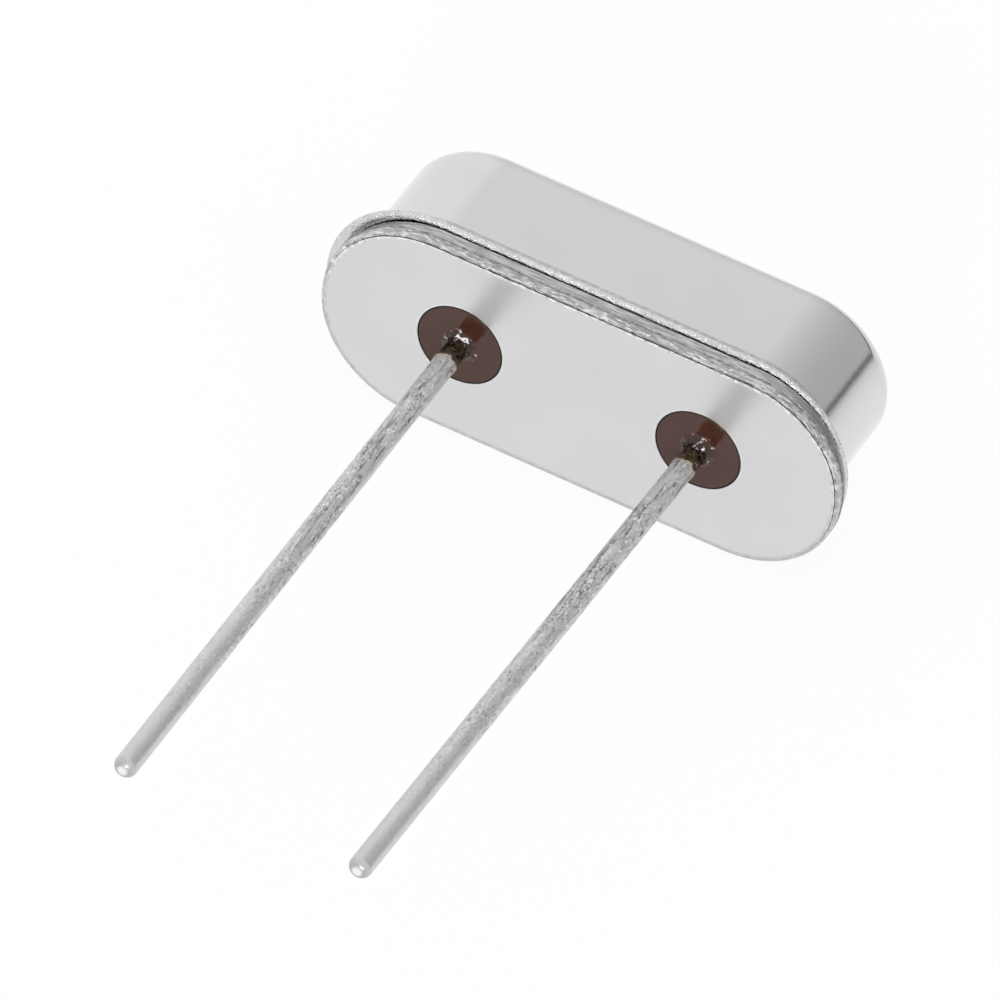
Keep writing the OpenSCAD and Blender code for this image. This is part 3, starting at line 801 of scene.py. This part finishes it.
class OBJECT_OT_crystal_beads(bpy.types.Operator):
    """Fires the two glass beads: discs that climb the lead and the wall of their hole"""

    bl_idname = "object.crystal_beads"
    bl_label = "Glass beads"

    def execute(self, context):
        base, leads = in_mm(context.scene, "base", "leads")
        material = sealing_glass(context.scene.crystal_colours)
        bead, low, climb = leads.bead_diameter / 2, leads.bead_recess, leads.meniscus_radius
        high, lip, creep = base.thickness - low, leads.meniscus_lip, leads.bead_creep
        for side, seed in (("left", 11.0), ("right", 16.0)):
            mount = mounts["lead_" + side]
            root, _, _ = lead_line(mount)
            wire = mount["dims"]["r_mm"] - leads.tin
            s = Section()
            s.run([(wire, high), (bead, high), (bead, low + creep)])
            # Painted shade darkens the groove at the hole's wall; the glass also darkens where it climbs the lead
            s.run(arc((bead - creep, low + creep), creep, -10, -80, 4), seam=(1.0, 0.8))
            s.run(line((bead - creep * 1.15, low), (wire + lip + climb + 0.02, low), 8))
            s.run(
                arc((wire + lip + climb, low - climb), climb, 90, 172, 24), grain=(0.0, 0.03), sway=(0.0, 0.08),
                seam=(0.0, 0.7),
            )
            s.run([(wire + lip * 0.4, low - climb * 1.15)], grain=0.004, sway=0.06, seam=0.8)
            s.run([(wire, low - climb * 1.15)], sway=0.06, seam=0.8)
            turn = {"Steps": 128, "Seed": seed, "Grain per mm": 5.0, "Material": material}
            part = (grown(s, [(turned_tree, turn)], closed=True), Matrix.Translation((root.x, 0, 0)))
            settle("bead_of_glass_" + side, [part], material, "glass_bead_" + side)
        return {"FINISHED"}


class OBJECT_OT_crystal_leads(bpy.types.Operator):
    """Draws and tins the two leads, from their flat heads to their rounded tips"""

    bl_idname = "object.crystal_leads"
    bl_label = "Leads"

    def execute(self, context):
        base, leads = in_mm(context.scene, "base", "leads")
        material = tinned_wire(context.scene.crystal_colours)
        for side, seed, tin_seed in (("left", 21.0, 31.0), ("right", 27.0, 35.0)):
            mount = mounts["lead_" + side]
            root, down, length = lead_line(mount)
            over, tip = mount["dims"]["r_mm"], leads.tip_radius
            bare = over - leads.tin
            head, foot = leads.head_diameter / 2, base.thickness + leads.head_rise
            top = foot + leads.head_thickness
            s = Section()
            end = length + tip
            # The cut end carries a painted highlight, which fades into a ring of painted shade round its edge
            s.run([(0, -end), (bare - tip, -end)], seam=-1.0)
            s.run(arc((bare - tip, tip - end), tip, -88, -72, 3), seam=(-1.0, 0.1))
            s.run(arc((bare - tip, tip - end), tip, -66, 0, 9), grain=(0.0, 0.003), seam=(0.4, 0.0))
            # Rings 0.04 mm apart, a little closer on the 3 mm below the base, and closest where the tin ends
            near, edge, glass, apart = 3, 0.6, 0.15, 0.04
            rings = round((length - near) / apart)
            s.run(line((bare, -length), (bare, -near), rings), grain=(0.0025, 0.004))
            s.run(line((bare, -near), (bare, -edge), 70), grain=(0.004, 0.005))
            s.run(line((bare, -edge), (bare, -glass), 30), grain=0.003)
            s.run([(bare, foot), (head, foot), (head, top), (0, top)])
            turn = {"Steps": 56, "Seed": seed, "Grain per mm": 7.0, "Material": material}
            dip = {"Start": leads.tin_start, "Thickness": leads.tin, "Seed": tin_seed, "Material": material}
            mesh = grown(s, [(turned_tree, turn), (tinning_tree, dip)])
            lean = Vector((0, 0, -1)).rotation_difference(down).to_matrix().to_4x4()
            part = (mesh, Matrix.Translation(root) @ lean)
            settle("wire_" + side, [part], material, "lead_" + side, sharp=60)
        return {"FINISHED"}


class OBJECT_OT_crystal_inside(bpy.types.Operator):
    """Finishes the sealed parts: clips, quartz blank, silver films and epoxy dabs"""

    bl_idname = "object.crystal_inside"
    bl_label = "Sealed parts"

    def execute(self, context):
        clear = {"Metallic": 0.0, "IOR": 1.54, "Transmission Weight": 0.7}
        finishes = {
            # Warm grey strip with rolling grain
            "clip": inner_material("rolled_nickel_silver", "#b8ac95", "#9c917b", 8.0, 0.32, {"Metallic": 1.0}),
            # Frosted and clear
            "quartz": inner_material("lapped_quartz", "#e6ecee", "#d3dcdf", 40.0, 0.4, clear),
            # Bright and even
            "electrode": inner_material("evaporated_silver", "#e8e7e2", "#dad9d3", 25.0, 0.22, {"Metallic": 1.0}),
            # Matt grey with flakes
            "adhesive": inner_material("cured_silver_epoxy", "#a3a29d", "#6d6c69", 30.0, 0.6, {"Metallic": 0.3}),
        }
        for name, node in frame["nodes"].items():
            for kind, material in finishes.items():
                if name.startswith(kind):
                    for place in node.material_slots:
                        place.material = material
        return {"FINISHED"}


def heading(azimuth, elevation):
    """Unit vector at an angle round the part, from -Y towards +X, and over the table."""
    return Vector(
        (math.sin(azimuth) * math.cos(elevation), -math.cos(azimuth) * math.cos(elevation), math.sin(elevation))
    )


class OBJECT_OT_crystal_studio(bpy.types.Operator):
    """Sets the paper sweep, the studio's light and the camera"""

    bl_idname = "object.crystal_studio"
    bl_label = "Studio"

    def execute(self, context):
        scene, studio = context.scene, context.scene.crystal_studio
        self.light_room(scene)
        self.lay_paper(scene, studio)
        self.hang_lamp(scene, studio)
        self.aim_camera(scene, studio)
        scene.view_settings.view_transform = "Standard"
        return {"FINISHED"}

    def light_room(self, scene):
        """A white room with one dim side behind the part, and a dark strip where that side meets the table."""
        scene.world = bpy.data.worlds.new("studio_room")
        tree = cleared(scene.world)
        ray = add(tree, "ShaderNodeTexCoord").outputs["Generated"]
        dim_side = heading(math.radians(147), math.radians(9.5))
        facing = add(tree, "ShaderNodeVectorMath", {0: ray, 1: dim_side}, operation="DOT_PRODUCT").outputs["Value"]
        # The walls dim from 61 degrees off that side, to about half in its middle
        walls = add(
            tree, "ShaderNodeMapRange",
            {"Value": facing, "From Min": 0.48, "From Max": 1.0, "To Min": 1.0, "To Max": 0.535},
        )
        # The strip stands 2.4 degrees high on the table's edge, darkest within 18 degrees of the dim side
        up = add(tree, "ShaderNodeSeparateXYZ", {0: ray}).outputs["Z"]
        strip = add(tree, "ShaderNodeMath", {0: up, 1: 0.018, 2: 0.023}, operation="COMPARE")
        near = add(
            tree, "ShaderNodeMapRange",
            {"Value": facing, "From Min": 0.6, "From Max": 0.95, "To Min": 0.0, "To Max": -0.92},
            interpolation_type="SMOOTHSTEP",
        )
        shade = add(tree, "ShaderNodeMath", {0: strip, 1: near, 2: 1.0}, operation="MULTIPLY_ADD")
        level = add(tree, "ShaderNodeMath", {0: walls, 1: shade}, operation="MULTIPLY")
        room = add(tree, "ShaderNodeBackground", {"Color": (1, 1, 1, 1), "Strength": level})
        white = add(tree, "ShaderNodeBackground", {"Color": (1, 1, 1, 1), "Strength": 1.0})
        seen = add(tree, "ShaderNodeLightPath").outputs["Is Camera Ray"]
        mix = add(tree, "ShaderNodeMixShader", {0: seen, 1: room, 2: white})
        add(tree, "ShaderNodeOutputWorld", {"Surface": mix})

    def lay_paper(self, scene, studio):
        """White paper: it glows to the camera and in the metal, and still takes a faint shadow."""
        mesh = bpy.data.meshes.new("paper_sweep")
        # Half the sheet's side, and its height, a hair under the part
        reach, level = 0.9, -0.002 * MM
        corners = ((-reach, -reach, level), (reach, -reach, level), (reach, reach, level), (-reach, reach, level))
        mesh.from_pydata(corners, [], [(0, 1, 2, 3)])
        material = bpy.data.materials.new("white_paper")
        tree = cleared(material)
        matt = add(tree, "ShaderNodeBsdfDiffuse", {"Color": full(studio.paper)})
        # In reflections the sheet dims towards its far right: from start on it falls to 37 % over each fold
        start, fold, folds = 12 * MM, 80 * MM, 10
        ground, dim_way = add(tree, "ShaderNodeTexCoord").outputs["Object"], heading(math.radians(133), 0)
        away = add(tree, "ShaderNodeVectorMath", {0: ground, 1: dim_way}, operation="DOT_PRODUCT").outputs["Value"]
        fall = add(
            tree, "ShaderNodeMapRange",
            {"Value": away, "From Min": start, "From Max": start + folds * fold, "To Min": 0.0, "To Max": -folds},
        )
        fall = add(tree, "ShaderNodeMath", {0: fall}, operation="EXPONENT")
        rays = add(tree, "ShaderNodeLightPath").outputs
        level = add(tree, "ShaderNodeMath", {0: fall, 1: rays["Is Camera Ray"]}, operation="MAXIMUM")
        glow = add(tree, "ShaderNodeEmission", {"Color": (1, 1, 1, 1), "Strength": level})
        shown = rays["Is Camera Ray"]
        for kind in ("Is Glossy Ray", "Is Transmission Ray"):
            shown = add(tree, "ShaderNodeMath", {0: shown, 1: rays[kind]}, operation="MAXIMUM")
        # 93 % of the white is this glow, and the rest takes the part's shadow
        share = add(tree, "ShaderNodeMath", {0: shown, 1: 0.93}, operation="MULTIPLY")
        mix = add(tree, "ShaderNodeMixShader", {0: share, 1: matt, 2: glow})
        add(tree, "ShaderNodeOutputMaterial", {"Surface": mix})
        mesh.materials.append(material)
        paper = bpy.data.objects.new("paper_sweep", mesh)
        scene.collection.objects.link(paper)

    def hang_lamp(self, scene, studio):
        """One round lamp, low in front, that glints in the glass and on the torn metal."""
        # In metres; the lamp's power is its radiance times pi times its area
        distance, across = 0.35, 0.055
        way = heading(math.radians(12), math.radians(20))
        lamp = bpy.data.lights.new("key_lamp", "AREA")
        lamp.shape, lamp.size = "DISK", across
        lamp.energy = studio.lamp_radiance * math.pi * math.pi * (across / 2) ** 2
        hung = bpy.data.objects.new("key_lamp", lamp)
        hung.location = way * distance
        hung.rotation_mode = "QUATERNION"
        hung.rotation_quaternion = way.to_track_quat("Z", "Y")
        hung.visible_camera = False
        scene.collection.objects.link(hung)

    def aim_camera(self, scene, studio):
        azimuth, roll = studio.azimuth, studio.roll
        back = heading(azimuth, studio.elevation)
        level = Vector((math.cos(azimuth), math.sin(azimuth), 0))
        right = level * math.cos(roll) + back.cross(level) * math.sin(roll)
        turn = Matrix((right, back.cross(right), back)).transposed()
        place = Vector(mounts["board_face"]["pos_m"]) + turn @ Vector((*studio.aim, studio.distance))
        data = bpy.data.cameras.new("camera")
        data.lens, data.sensor_width = studio.lens, 36
        data.clip_start, data.clip_end = 0.05, 5
        camera = bpy.data.objects.new("camera", data)
        camera.matrix_world = Matrix.Translation(place) @ turn.to_4x4()
        scene.collection.objects.link(camera)
        scene.camera = camera


class VIEW3D_PT_crystal(bpy.types.Panel):
    bl_label = "Quartz crystal"
    bl_idname = "VIEW3D_PT_crystal"
    bl_space_type = "VIEW_3D"
    bl_region_type = "UI"
    bl_category = "Crystal"

    def draw(self, context):
        for operator in OPERATORS:
            self.layout.operator(operator.bl_idname)
        for name in GROUPS:
            group = getattr(context.scene, name)
            box = self.layout.box()
            box.label(text=name.removeprefix("crystal_").capitalize())
            for prop in group.__annotations__:
                box.prop(group, prop)


OPERATORS = (
    OBJECT_OT_crystal_can,
    OBJECT_OT_crystal_base,
    OBJECT_OT_crystal_beads,
    OBJECT_OT_crystal_leads,
    OBJECT_OT_crystal_inside,
    OBJECT_OT_crystal_studio,
)
GROUPS = {
    "crystal_can": CrystalCanSizes,
    "crystal_base": CrystalBaseSizes,
    "crystal_leads": CrystalLeadSizes,
    "crystal_colours": CrystalColours,
    "crystal_studio": CrystalStudio,
}


def register():
    for group in (*GROUPS.values(), *OPERATORS, VIEW3D_PT_crystal):
        bpy.utils.register_class(group)
    for name, group in GROUPS.items():
        setattr(bpy.types.Scene, name, bpy.props.PointerProperty(type=group))


def unregister():
    for name in GROUPS:
        delattr(bpy.types.Scene, name)
    for group in reversed((*GROUPS.values(), *OPERATORS, VIEW3D_PT_crystal)):
        bpy.utils.unregister_class(group)


def main():
    register()
    bpy.ops.object.crystal_can()
    bpy.ops.object.crystal_base()
    bpy.ops.object.crystal_beads()
    bpy.ops.object.crystal_leads()
    bpy.ops.object.crystal_inside()
    bpy.ops.object.crystal_studio()


if __name__ == "__main__":
    main()
